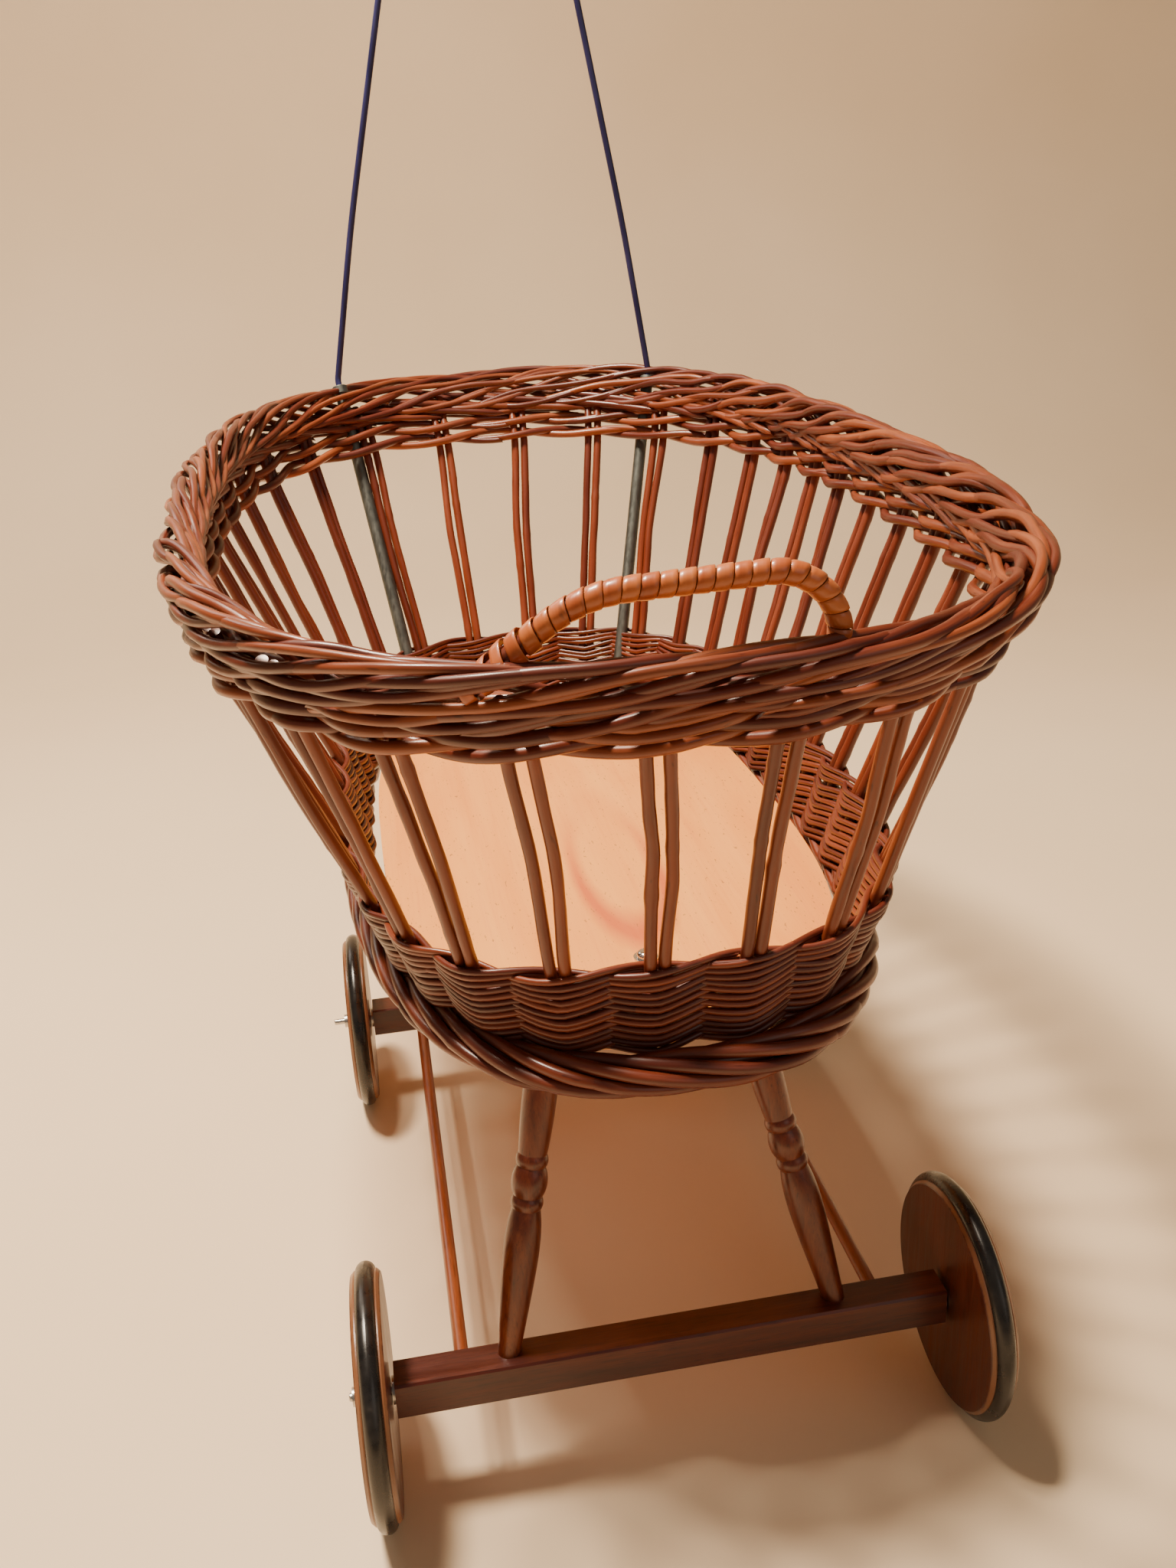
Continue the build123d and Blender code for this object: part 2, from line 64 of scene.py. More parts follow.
# ---- Woven walls: a turn round the basket, a level and a depth give a point ----
class Wall:
    """A woven wall. Turn runs 0 to 1 counter-clockwise from +X; depth is outward from the middle."""

    def __init__(self, shape, place, levels):
        self.shape, self.place, self.levels = shape, place, np.array(levels, float)
        self.angles = np.linspace(0, 2 * np.pi, 1441)
        self.shares = []
        for level in self.levels:
            x, y = self.oval(self.angles, level, 0.0)
            spans = np.hypot(np.diff(x), np.diff(y))
            run = np.concatenate([[0], np.cumsum(spans)])
            self.shares.append(run / run[-1])

    def oval(self, angle, level, depth):
        half_length, half_width, power = self.shape(level)
        shift = depth - wall / 2
        across = np.abs(np.cos(angle) / (half_width + shift)) ** power
        along = np.abs(np.sin(angle) / (half_length + shift)) ** power
        reach = (across + along) ** (-1 / power)
        return reach * np.cos(angle), reach * np.sin(angle)

    def point(self, turn, level, depth):
        turn, level, depth = np.broadcast_arrays(np.asarray(turn, float), level, depth)
        part = turn % 1.0
        each = np.stack([np.interp(part, share, self.angles) for share in self.shares])
        low = np.clip(np.searchsorted(self.levels, level) - 1, 0, len(self.levels) - 2)
        blend = (level - self.levels[low]) / (self.levels[low + 1] - self.levels[low])
        pick = np.arange(len(part))
        angle = each[low, pick] * (1 - blend) + each[low + 1, pick] * blend
        return self.place(*self.oval(angle, level, depth), level)


def rim_shape(level):
    part = (level + 40) / 40
    return 322.6 + 35.4 * part, 200.9 + 6.1 * part, 2.64


def rim_place(x, y, level):
    rise, fall = math.sin(rim_rise), math.cos(rim_rise)
    return np.stack([x, y * fall - level * rise, rim_height + y * rise + level * fall], -1)


def lower_shape(height):
    part = (height - 245) / 36
    return 270.5 + 6.3 * part, 136.5 + 9.9 * part, 2.74 + 0.3 * part


def foot_shape(height):
    return 284.5 + 0 * height, 140.5 + 0 * height, 2.5


def level_place(x, y, height):
    return np.stack([x + basket_foot[0], y + basket_foot[1], height + 0 * x], -1)


rim = Wall(rim_shape, rim_place, [-48, -36, -24, -12, 0, 8])
lower = Wall(lower_shape, level_place, [228, 240, 252, 264, 276, 290])
foot = Wall(foot_shape, level_place, [220, 250])


def turn_of(pair, row):
    """The turn at a pair number: the pairs stand further apart round the far end."""
    perimeter, still_pair, most = row
    away = (pair - still_pair + pair_count / 2) % pair_count - pair_count / 2
    moved = most * np.sin(np.pi * np.clip(away / far_spread_reach, -1, 1))
    return (pair + pair_phase) / pair_count + moved / perimeter


def waver(x, seed, size, pace=1.0):
    """Smooth random drift of about the given size, with one new value for each step of pace."""
    values = np.random.default_rng(seed).normal(0, size, 4096)
    spot = np.asarray(x, float) / pace + 512
    low = np.floor(spot).astype(int)
    part = spot - low
    part = part * part * (3 - 2 * part)
    return values[low % 4096] * (1 - part) + values[(low + 1) % 4096] * part


def smooth(x, low, high):
    part = np.clip((x - low) / (high - low), 0, 1)
    return part * part * (3 - 2 * part)


def through(points, count, rounds=3):
    """A smooth line through a few points: an interpolated polyline, evened out and softened."""
    points = np.array(points, float)
    run = np.concatenate([[0], np.cumsum(np.linalg.norm(np.diff(points, axis=0), axis=1))])
    even = np.linspace(0, run[-1], count)
    line = np.stack([np.interp(even, run, points[:, k]) for k in range(3)], -1)
    for _ in range(rounds):
        line[1:-1] = (line[:-2] + 2 * line[1:-1] + line[2:]) / 4
    return line


# ---- Bundles: many canes in one mesh ----
class Bundle:
    def __init__(self):
        self.points, self.quads, self.triangles = [], [], []
        self.grain, self.tone, self.cut, self.count = [], [], [], 0

    def put(self, points, grain, tone, cut):
        first = self.count
        self.points.append(points)
        self.grain.append(grain)
        self.tone.append(np.full(len(points), tone))
        self.cut.append(np.full(len(points), float(cut)))
        self.count += len(points)
        return first

    def cane(self, path, radius, upward=(0, 0, 1), tone=None, sides=9, slant=(0.0, 0.0),
             pale=(False, False)):
        """One cane along a path. Slant tilts the cut at each end, and pale shows bare wood there."""
        path = np.asarray(path, float)
        radius = np.broadcast_to(np.asarray(radius, float), (len(path),)).copy()
        run = np.concatenate([[0], np.cumsum(np.linalg.norm(np.diff(path, axis=0), axis=1))])
        seed = int(chance.integers(1, 100000))
        radius *= 1 + waver(run, seed, 0.025, 9)
        knots = int(run[-1] / knot_spacing + chance.uniform(0, 1))
        for spot in chance.uniform(0, run[-1], knots):
            radius *= 1 + knot_height * np.exp(-((run - spot) / knot_reach) ** 2)
        ahead = np.gradient(path, axis=0)
        ahead /= np.linalg.norm(ahead, axis=1)[:, None]
        side = np.cross(ahead, np.broadcast_to(np.asarray(upward, float), path.shape))
        side /= np.linalg.norm(side, axis=1)[:, None]
        over = np.cross(side, ahead)
        angle = np.linspace(0, 2 * np.pi, sides, endpoint=False)
        sine, cosine = np.sin(angle)[None, :, None], np.cos(angle)[None, :, None]
        out = cosine * side[:, None] + sine * over[:, None]
        ring = path[:, None] + radius[:, None, None] * out
        for end, tilt in ((0, slant[0]), (-1, slant[1])):
            ring[end] += ahead[end] * (tilt * radius[end] * np.sin(angle))[:, None]
        tone = chance.uniform(0, 1) if tone is None else tone
        offset = np.array([seed % 977, seed % 83, seed % 71], float)
        grain = np.stack([
            np.broadcast_to(run[:, None], ring.shape[:2]),
            radius[:, None] * np.cos(angle)[None],
            radius[:, None] * np.sin(angle)[None],
        ], -1) + offset
        first = self.put(ring.reshape(-1, 3), grain.reshape(-1, 3), tone, 0)
        rows = np.arange(len(path) - 1)[:, None] * sides + first
        one, two = np.arange(sides)[None], (np.arange(sides) + 1)[None] % sides
        around = np.stack([rows + one, rows + two, rows + sides + two, rows + sides + one], -1)
        self.quads.append(around.reshape(-1, 4))
        for end, is_pale in ((0, pale[0]), (-1, pale[1])):
            loop = ring[end]
            middle = loop.mean(0)[None] + ahead[end] * (0.12 * radius[end]) * (-1 if end == 0 else 1)
            spots = np.concatenate([loop, middle])
            cap = self.put(spots, np.concatenate([grain[end], grain[end].mean(0)[None]]), tone, is_pale)
            a, b = cap + np.arange(sides), cap + (np.arange(sides) + 1) % sides
            top = np.full(sides, cap + sides)
            self.triangles.append(np.stack([b, a, top] if end == 0 else [a, b, top], -1))

    def piece(self, name, look, slot, *stands_for):
        mesh = bpy.data.meshes.new(name)
        faces = np.concatenate(self.quads).tolist() + np.concatenate(self.triangles).tolist()
        mesh.from_pydata((np.concatenate(self.points) * MM).tolist(), [], faces)
        for label, kind, values in (
            ("grain", "FLOAT_VECTOR", np.concatenate(self.grain)),
            ("tone", "FLOAT", np.concatenate(self.tone)),
            ("cut", "FLOAT", np.concatenate(self.cut)),
        ):
            made = mesh.attributes.new(label, kind, "POINT")
            field = "vector" if kind == "FLOAT_VECTOR" else "value"
            made.data.foreach_set(field, values.astype(np.float32).ravel())
        mesh.polygons.foreach_set("use_smooth", np.ones(len(mesh.polygons), bool))
        mesh.materials.append(look)
        mesh.validate()
        made = bpy.data.objects.new(name, mesh)
        bpy.context.scene.collection.objects.link(made)
        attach(made, "carriage")
        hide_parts(*stands_for)


# ---- Materials ----
bare_wood = (0.50, 0.27, 0.12)          # at the cut ends of canes


def add(tree, kind, props=None, inputs=None):
    made = tree.nodes.new(kind)
    for key, value in (props or {}).items():
        setattr(made, key, value)
    for key, value in (inputs or {}).items():
        socket = made.inputs[key]
        if isinstance(value, bpy.types.NodeSocket):
            tree.links.new(value, socket)
        else:
            socket.default_value = value
    return made


def look(name):
    made = bpy.data.materials.new(name)
    made.use_nodes = True
    tree = made.node_tree
    tree.nodes.clear()
    out = tree.nodes.new("ShaderNodeOutputMaterial")
    shader = tree.nodes.new("ShaderNodeBsdfPrincipled")
    tree.links.new(shader.outputs[0], out.inputs[0])
    return made, tree, shader


def ramp(tree, factor, stops):
    made = add(tree, "ShaderNodeValToRGB", inputs={0: factor})
    while len(made.color_ramp.elements) < len(stops):
        made.color_ramp.elements.new(0.5)
    for element, (spot, colour) in zip(made.color_ramp.elements, stops):
        element.position = spot
        element.color = (*colour, 1)
    return made.outputs[0]


def mix(tree, factor, a, b):
    made = add(tree, "ShaderNodeMix", {"data_type": "RGBA", "blend_type": "MIX"})
    for key, value in ((0, factor), (6, a), (7, b)):
        if isinstance(value, bpy.types.NodeSocket):
            tree.links.new(value, made.inputs[key])
        else:
            made.inputs[key].default_value = value if key == 0 else (*value, 1)
    return made.outputs[2]


def sum_of(tree, how, a, b, c=None):
    inputs = {0: a, 1: b}
    if c is not None:
        inputs[2] = c
    return add(tree, "ShaderNodeMath", {"operation": how}, inputs).outputs[0]


def scaled(tree, vector, size):
    return add(tree, "ShaderNodeVectorMath", {"operation": "MULTIPLY"}, {0: vector, 1: size}).outputs[0]


def noise(tree, vector, scale, detail=3.0, rough=0.55, twist=0.0):
    inputs = {"Vector": vector, "Scale": scale, "Detail": detail, "Roughness": rough, "Distortion": twist}
    return add(tree, "ShaderNodeTexNoise", inputs=inputs).outputs["Fac"]


def spread(tree, value, low, high, to_low, to_high):
    inputs = {0: value, 1: low, 2: high, 3: to_low, 4: to_high}
    return add(tree, "ShaderNodeMapRange", inputs=inputs).outputs[0]


def bump(tree, shader, height, strength, distance):
    inputs = {"Strength": strength, "Distance": distance, "Height": height}
    made = add(tree, "ShaderNodeBump", inputs=inputs)
    tree.links.new(made.outputs[0], shader.inputs["Normal"])


def gloss(tree, shader, roughness, coat=0.0, coat_roughness=0.2):
    if isinstance(roughness, bpy.types.NodeSocket):
        tree.links.new(roughness, shader.inputs["Roughness"])
    else:
        shader.inputs["Roughness"].default_value = roughness
    shader.inputs["Coat Weight"].default_value = coat
    shader.inputs["Coat Roughness"].default_value = coat_roughness
    shader.inputs["Specular IOR Level"].default_value = 0.5


def willow_look(name, dark, middle, light, coat=0.2):
    """Varnished willow: streaks along each cane, blotches, dark flecks and a tone of its own."""
    made, tree, shader = look(name)
    grain = add(tree, "ShaderNodeAttribute", {"attribute_name": "grain"}).outputs["Vector"]
    tone = add(tree, "ShaderNodeAttribute", {"attribute_name": "tone"}).outputs["Fac"]
    cut = add(tree, "ShaderNodeAttribute", {"attribute_name": "cut"}).outputs["Fac"]
    streak = noise(tree, scaled(tree, grain, (0.022, 0.42, 0.42)), 1.0, 5.0, 0.62)
    blotch = noise(tree, scaled(tree, grain, (0.028, 0.06, 0.06)), 1.0, 2.0)
    fleck = noise(tree, scaled(tree, grain, (0.11, 0.5, 0.5)), 1.0, 2.0)
    body = sum_of(tree, "MULTIPLY_ADD", tone, 0.32, sum_of(tree, "MULTIPLY", streak, 0.50))
    body = sum_of(tree, "MULTIPLY_ADD", blotch, 0.34, sum_of(tree, "SUBTRACT", body, 0.08))
    colour = ramp(tree, body, [(0.14, dark), (0.46, middle), (0.84, light)])
    spots = spread(tree, fleck, 0.66, 0.76, 0.0, 0.55)
    colour = mix(tree, spots, colour, tuple(0.35 * c for c in dark))
    colour = mix(tree, cut, colour, bare_wood)
    tree.links.new(colour, shader.inputs["Base Color"])
    gloss(tree, shader, spread(tree, streak, 0.3, 0.7, 0.30, 0.52), coat, 0.16)
    bump(tree, shader, sum_of(tree, "ADD", streak, sum_of(tree, "MULTIPLY", fleck, 0.5)), 0.35, 0.0004)
    return made


def wood_look(name, dark, middle, light, stretch, coat=0.4, rough=(0.28, 0.45), edge=None):
    """Stained wood. Stretch scales the grain on each axis, small along the fibres."""
    made, tree, shader = look(name)
    place = add(tree, "ShaderNodeTexCoord").outputs["Object"]
    drawn = scaled(tree, place, stretch)
    fibre = noise(tree, drawn, 1.0, 6.0, 0.66, 0.4)
    broad = noise(tree, scaled(tree, place, tuple(0.16 * s for s in stretch)), 1.0, 3.0, 0.5, 0.8)
    pores = noise(tree, scaled(tree, place, tuple(5.0 * s for s in stretch)), 1.0, 2.0)
    body = sum_of(tree, "MULTIPLY_ADD", fibre, 0.6, sum_of(tree, "MULTIPLY", broad, 0.4))
    colour = ramp(tree, body, [(0.32, dark), (0.5, middle), (0.68, light)])
    colour = mix(tree, spread(tree, pores, 0.56, 0.7, 0.0, 0.5), colour, tuple(0.4 * c for c in dark))
    if edge is not None:
        colour = edge(tree, place, colour, fibre)
    tree.links.new(colour, shader.inputs["Base Color"])
    gloss(tree, shader, spread(tree, fibre, 0.3, 0.7, *rough), coat, 0.18)
    bump(tree, shader, sum_of(tree, "SUBTRACT", fibre, sum_of(tree, "MULTIPLY", pores, 0.4)), 0.25, 0.0005)
    return made


def metal_look(name, colour, rough, stretch, wear=0.15):
    made, tree, shader = look(name)
    place = add(tree, "ShaderNodeTexCoord").outputs["Object"]
    cloud = noise(tree, place, 60.0, 3.0)
    brushed = noise(tree, scaled(tree, place, stretch), 1.0, 4.0, 0.6)
    tint = mix(tree, spread(tree, cloud, 0.4, 0.7, 0.0, wear), colour, tuple(0.45 * c for c in colour))
    tree.links.new(tint, shader.inputs["Base Color"])
    shader.inputs["Metallic"].default_value = 1.0
    gloss(tree, shader, spread(tree, brushed, 0.3, 0.7, rough * 0.8, rough * 1.3))
    bump(tree, shader, brushed, 0.08, 0.0002)
    return made


# Each willow look is its dark, middle and light stain. The first, used on the lower band, the foot border
# and the handle's core, is a darker copy of the same willow: its stain plus painted shade under the rim.
willow = willow_look("willow_look", (0.045, 0.0055, 0.002), (0.100, 0.0135, 0.0040), (0.24, 0.045, 0.012))
willow_rim = willow_look(
    "willow_rim_look", (0.050, 0.0060, 0.002), (0.115, 0.0155, 0.0045), (0.36, 0.088, 0.021))
willow_upright = willow_look(
    "willow_upright_look", (0.060, 0.0075, 0.002), (0.130, 0.0190, 0.0045), (0.27, 0.054, 0.013))
split_cane = willow_look(
    "split_cane_look", (0.20, 0.032, 0.007), (0.42, 0.090, 0.019), (0.70, 0.22, 0.048), coat=0.5)

# ---- Uprights: pairs of canes from the foot border to inside the rim ----
quarters = {"right": Bundle(), "far": Bundle(), "left": Bundle(), "near": Bundle()}
for pair in range(pair_count):
    share = (pair + pair_phase) / pair_count
    quarter = list(quarters)[int((share * 4 + 0.5) % 4)]
    lean = chance.normal(0, 1.3, 2)
    is_near = quarter == "near"
    half_thick = near_stake_radius if is_near else stake_radius
    opening = abs(chance.normal(0, 0.45)) + (near_opening if is_near else 0)
    for beside in (-1, 1):
        spots = []
        for place, height, row, extra in (
            (lower, 239.0, lower_row, 0.0), (lower, 277.0, lower_row, 0.0),
            (rim, -38.0, rim_row, opening), (rim, -9.0, rim_row, 0.4 * opening),
        ):
            shift = beside * (half_thick + pair_gap + extra)
            turn = turn_of(np.array([float(pair)]), row) + shift / row[0]
            spots.append(place.point(turn, np.array([height]), np.array([0.0]))[0])
        line = through(spots, 60, 5)
        along = np.linspace(0, 1, 60)
        middle = np.sin(np.pi * smooth(along, 0.2, 0.85))
        outward = spots[2] - spots[1]
        sideways = np.cross(outward, (0, 0, 1))
        sideways /= np.linalg.norm(sideways)
        bow = chance.normal(0, 0.8) + lean[0] + beside * 0.25 * opening
        outward = np.cross(sideways, outward / np.linalg.norm(outward))
        line += middle[:, None] * (bow * sideways + 0.8 * lean[1] * outward)
        line += (middle * waver(along, int(chance.integers(1, 9999)), 0.35, 0.11))[:, None] * sideways
        radius = half_thick * (1.04 - 0.08 * along) * chance.uniform(0.95, 1.04)
        away = np.array([line[30][0], line[30][1], 0.0])
        quarters[quarter].cane(line, radius, away, sides=12)
for quarter, bundle in quarters.items():
    bundle.piece(f"uprights_{quarter}", willow_upright, "willow", f"{quarter}_canes")


# ---- Ropes: pairs of strands that twist round the uprights ----
def rope(bundle, place, row, level, swing, climb, radius, dip=0.0, seed=0, tips=False, per_pair=12,
         sides=9, tone_base=0.0):
    """Two strands, each in front of every other pair, pieced together from shorter canes."""
    for strand in range(2):
        spot = float(chance.uniform(0, 4))
        stop = spot + pair_count
        while spot < stop - 0.5:
            length = min(float(chance.uniform(5, 9)), stop - spot)
            if stop - spot - length < 2.5:
                length = stop - spot
            end = spot + length
            pair = np.linspace(spot - 0.45, end + 0.45, int((length + 0.9) * per_pair) + 1)
            theta = np.pi * (pair + strand)
            depth = -swing * np.cos(theta)
            lift = -climb * np.sin(theta) + dip * (4 * np.abs(pair - np.round(pair)) - 1)
            lift = lift + waver(pair, seed + strand, 0.22 * radius, 0.9)
            depth = depth + waver(pair, seed + 7 + strand, 0.14 * radius, 1.1)
            at_end = 1 - smooth(pair, spot - 0.45, spot + 0.3) + smooth(pair, end - 0.3, end + 0.45)
            depth = depth * (1 - 0.25 * at_end) - (0.6 * radius * at_end if not tips else 0)
            lift = lift + 0.45 * radius * at_end * (1 if strand else -1)
            thick = radius * (1 - 0.28 * at_end) * chance.uniform(0.93, 1.06)
            line = place.point(turn_of(pair, row), level + lift, depth)
            tone = tone_base + chance.uniform(0, 1)
            bundle.cane(line, thick, tone=tone, sides=sides, slant=(0.9, 0.9), pale=(tips, tips))
            spot = end


# ---- Rim: two twined rows, a third behind long inner strokes, and the rolled border over them ----
rope_levels, back_rope_level = (-36.6, -27.4), -19.5
lower_rope, upper_rope, strokes, border = Bundle(), Bundle(), Bundle(), Bundle()
rope(lower_rope, rim, rim_row, rope_levels[0], 5.7, 2.3, 2.85, seed=11)
rope(upper_rope, rim, rim_row, rope_levels[1], 5.7, 2.3, 2.85, seed=31)
rope(strokes, rim, rim_row, back_rope_level, 2.6, 2.2, 2.5, seed=51)
for stroke in range(pair_count):
    along = np.linspace(0, 1, 44)
    length = 2.5 + chance.normal(0, 0.15)
    pair = stroke + 0.6 + chance.normal(0, 0.06) - length * along
    level = -9.0 - 12.0 * along + waver(along, 500 + stroke, 0.4, 0.5)
    depth = -6.0 + 3.4 * (1 - smooth(along, 0.0, 0.16)) + 2.4 * smooth(along, 0.86, 1.0)
    depth = depth + waver(along, 560 + stroke, 0.3, 0.5)
    radius = 2.5 * (1 - 0.5 * smooth(along, 0.9, 1.0) - 0.25 * (1 - smooth(along, 0, 0.08)))
    line = rim.point(turn_of(pair, rim_row), level, depth)
    strokes.cane(line, radius * chance.uniform(0.92, 1.08), slant=(0.8, -1.2))

# The section that a border cane follows: depth and level, from inside over the top to outside.
border_section = np.array([
    (-5.0, -18.0), (-8.2, -13.0), (-9.2, -7.0), (-9.0, -0.6), (-7.2, 4.2), (-3.6, 6.0), (0.0, 5.4),
    (3.4, 2.8), (5.0, -1.5), (5.4, -7.5), (5.6, -13.5), (5.6, -19.5), (4.6, -25.5),
])
section_run = np.concatenate([[0], np.cumsum(np.linalg.norm(np.diff(border_section, axis=0), axis=1))])
fine_run = np.linspace(0, section_run[-1], 200)
section = np.stack([np.interp(fine_run, section_run, border_section[:, k]) for k in range(2)], -1)
for _ in range(40):
    section[1:-1] = (section[:-2] + 2 * section[1:-1] + section[2:]) / 4
section_ahead = np.gradient(section, axis=0)
section_ahead /= np.linalg.norm(section_ahead, axis=1)[:, None]
section_out = np.stack([-section_ahead[:, 1], section_ahead[:, 0]], -1)
# Each pair starts three canes. A cane travels back over 5.4 pairs, and wavers in and out every 2.2.
border_travel, weave_period, border_canes = 5.4, 2.2, 3
border_rise, border_drift, border_radius = 1.8, 2.8, 2.3
for strand in range(border_canes * pair_count):
    along = np.linspace(0, 1, 84)
    travel = border_travel * (1 + chance.normal(0, 0.03))
    pair = strand / border_canes + 0.3 + chance.normal(0, 0.06) - travel * along
    phase = 2 * np.pi * (pair / weave_period + 0.36 * strand) + chance.normal(0, 0.3)
    rise = border_rise * np.sin(phase) + waver(along, 800 + strand, 0.3, 0.12)
    drift = -border_drift * np.cos(phase) + waver(along, 700 + strand, 0.6, 0.12)
    settled = smooth(along, 0.0, 0.06) * (1 - smooth(along, 0.93, 1.0))
    rise = rise * settled - 1.6 * (1 - settled)
    spot = np.clip(along * section_run[-1] + drift, 0, section_run[-1])
    depth = np.interp(spot, fine_run, section[:, 0]) + rise * np.interp(spot, fine_run, section_out[:, 0])
    level = np.interp(spot, fine_run, section[:, 1]) + rise * np.interp(spot, fine_run, section_out[:, 1])
    turn = turn_of(pair, rim_row)
    thick = border_radius * (1 + 0.12 * np.sin(2 * np.pi * (turn - 0.75)))
    radius = thick * (1 - 0.5 * smooth(along, 0.94, 1.0) - 0.3 * (1 - smooth(along, 0, 0.05)))
    line = rim.point(turn, level, depth)
    border.cane(line, radius * chance.uniform(0.84, 1.14), sides=8, slant=(0.6, -1.6))
lower_rope.piece("rim_rope_lower", willow_rim, "willow_rim", "rim_wale_lower")
upper_rope.piece("rim_rope_upper", willow_rim, "willow_rim", "rim_wale_upper")
strokes.piece("rim_inner_strokes", willow_rim, "willow_rim", "rim_weave")
border.piece("rim_rolled_border", willow_rim, "willow_rim", "rim_border")

# ---- Lower band: fine twined rows, a finishing wale and the rolled foot ----
weave, top_wale, rolled_foot = Bundle(), Bundle(), Bundle()
weave_rows, weave_bottom, weave_pitch = 9, 240.4, 3.72
wale_rows, wale_bottom, wale_pitch = 3, 274.0, 3.2
for row in range(weave_rows):
    height = weave_bottom + weave_pitch * row
    rope(weave, lower, lower_row, height, 4.1, 1.15, 1.65, dip=1.8, seed=1000 + 20 * row,
         per_pair=10, sides=7)
for row in range(wale_rows):
    height = wale_bottom + wale_pitch * row
    rope(top_wale, lower, lower_row, height, 4.5, 1.5, 1.6, dip=0.9 - 0.4 * row, seed=1300 + 20 * row,
         tips=True, per_pair=10, sides=7, tone_base=0.1)
# The willow look here is darker than the rim's and the uprights': the stain plus painted shade under the
# rim.
weave.piece("lower_fine_weave", willow, "willow", "lower_weave")
top_wale.piece("lower_finishing_wale", willow, "willow", "lower_top_wale")
# The rolled foot: six strands twist round one plain cane that closes the middle.
foot_strands, foot_periods = 6, 7
foot_level, foot_swing, foot_climb, foot_radius = 234.4, 6.4, 6.6, 3.05
core_level, core_radius = 236.0, 4.0
for strand in range(foot_strands):
    spot, stop = 3.0 * strand, 3.0 * strand + pair_count
    while spot < stop - 0.5:
        length = min(float(chance.uniform(6, 10)), stop - spot)
        if stop - spot - length < 3:
            length = stop - spot
        end = spot + length
        pair = np.linspace(spot - 0.5, end + 0.5, int((length + 1) * 9))
        theta = 2 * np.pi * (pair * foot_periods / pair_count + strand / foot_strands)
        at_end = 1 - smooth(pair, spot - 0.5, spot + 0.3) + smooth(pair, end - 0.3, end + 0.5)
        depth = foot_swing * np.cos(theta) - 2.0 * at_end + waver(pair, 1500 + strand, 0.4, 1.0)
        height = foot_level - foot_climb * np.sin(theta) + waver(pair, 1520 + strand, 0.5, 1.2)
        thick = foot_radius * (1 - 0.3 * at_end) * chance.uniform(0.94, 1.05)
        line = foot.point(turn_of(pair, lower_row), height, depth)
        rolled_foot.cane(line, thick, sides=10, slant=(0.9, 0.9))
        spot = end
pair = np.linspace(0, pair_count + 0.5, 300)
rolled_foot.cane(foot.point(turn_of(pair, lower_row), core_level, 0.0), core_radius, sides=8)
rolled_foot.piece("foot_rolled_border", willow, "willow", "foot_border")


# ---- Push handle: a cane core, and split cane wound round it ----
def bent_line(points, radii, step):
    """Straight runs joined by arcs, as evenly spaced points."""
    points = [Vector(p) for p in points]
    line = [points[0]]
    for before, corner, after, radius in zip(points, points[1:], points[2:], radii):
        back, on = (before - corner).normalized(), (after - corner).normalized()
        half = back.angle(on) / 2
        centre = corner + (back + on).normalized() * (radius / math.sin(half))
        first, last = corner + back * (radius / math.tan(half)), corner + on * (radius / math.tan(half))
        opening, steps = math.pi - 2 * half, 12
        for k in range(steps + 1):
            share = math.sin((1 - k / steps) * opening), math.sin(k / steps * opening)
            spoke = (first - centre) * share[0] + (last - centre) * share[1]
            line.append(centre + spoke / math.sin(opening))
    line.append(points[-1])
    line = np.array([list(p) for p in line])
    run = np.concatenate([[0], np.cumsum(np.linalg.norm(np.diff(line, axis=0), axis=1))])
    even = np.linspace(0, run[-1], int(run[-1] / step) + 1)
    return np.stack([np.interp(even, run, line[:, k]) for k in range(3)], -1), even


handle_step, handle_core_radius, strip_base = 0.25, 3.4, 3.75
handle_line, handle_run = bent_line(handle_points, handle_bends, handle_step)
handle_length = handle_run[-1]
core = Bundle()
core.cane(handle_line[::12], handle_core_radius, (0, 1, 0), sides=12)
core.piece("handle_core", willow, "willow", "push_handle_core")
ahead = np.gradient(handle_line, axis=0)
ahead /= np.linalg.norm(ahead, axis=1)[:, None]
side = np.cross(ahead, np.array([0, 1.0, 0]))
side /= np.linalg.norm(side, axis=1)[:, None]
over = np.cross(side, ahead)
wrap = Bundle()


def on_handle(run, angle, radius):
    """A point beside the handle's line."""
    spot = np.clip(run, 0, handle_length) / handle_step
    low = np.clip(spot.astype(int), 0, len(handle_line) - 2)
    part = (spot - low)[:, None]
    base = handle_line[low] * (1 - part) + handle_line[low + 1] * part
    spoke = np.cos(angle)[:, None] * side[low] + np.sin(angle)[:, None] * over[low]
    return base + radius[:, None] * spoke


strip_width, strip_pitch, steps = 6.1, 6.05, 22
